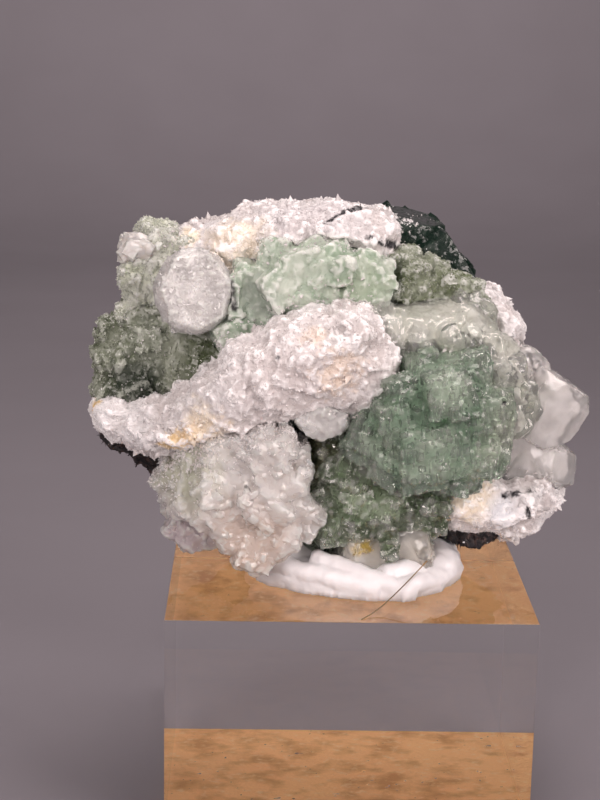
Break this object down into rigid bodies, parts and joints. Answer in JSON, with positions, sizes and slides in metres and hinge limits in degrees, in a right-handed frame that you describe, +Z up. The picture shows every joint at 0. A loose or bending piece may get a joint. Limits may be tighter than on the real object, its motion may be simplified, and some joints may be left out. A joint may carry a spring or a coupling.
{
  "type": "fluorite specimen on a display block",
  "caption": "Green fluorite with pale calcite and a white quartz crust on dark host rock, pressed into white mounting putty on a clear acrylic display block with a brown paper underside.",
  "frame": {"origin": "centre of the flat underside of the paper under the display block", "axes": "+Z up, the specimen's show face looks along -Y, +X is to the viewer's right"},
  "size_m": [0.0567, 0.04, 0.0668],
  "materials": {
    "acrylic_block": "clear, polished",
    "backing_paper": "matt brown",
    "putty": "soft, slightly shiny",
    "host_rock": "dull, fibrous",
    "quartz_crust": "fine sparkling points",
    "quartz_tip": "milky",
    "calcite_plate": "translucent, frosted",
    "grey_calcite": "translucent grey",
    "calcite_hanging": "translucent grey",
    "calcite_left": "milky and clear",
    "calcite_right": "milky, glassy faces",
    "calcite_foot": "clear, ochre stain",
    "calcite_clear": "clear, glassy",
    "fluorite_main": "translucent, stepped",
    "fluorite_lower": "translucent, etched",
    "fluorite_mint": "frosted",
    "fluorite_olive": "frosted, pitted",
    "fluorite_dark": "dark, glassy",
    "fluorite_left": "frosted",
    "fluorite_upper_left": "frosted",
    "fluorite_back": "translucent, stepped",
    "fluorite_back_right": "translucent, stepped"
  },
  "bodies": {
    "root": {"acrylic_block": "acrylic_block", "backing_paper": "backing_paper", "putty": "putty", "host_rock": "host_rock", "quartz_crust": "quartz_crust", "quartz_tip": "quartz_tip", "calcite_plate": "calcite_plate", "grey_calcite": "grey_calcite", "calcite_hanging": "calcite_hanging", "calcite_left": "calcite_left", "calcite_right": "calcite_right", "calcite_foot": "calcite_foot", "calcite_clear": "calcite_clear", "fluorite_main": "fluorite_main", "fluorite_lower": "fluorite_lower", "fluorite_mint": "fluorite_mint", "fluorite_olive": "fluorite_olive", "fluorite_dark": "fluorite_dark", "fluorite_left": "fluorite_left", "fluorite_upper_left": "fluorite_upper_left", "fluorite_back": "fluorite_back", "fluorite_back_right": "fluorite_back_right"}
  },
  "joints": []
}
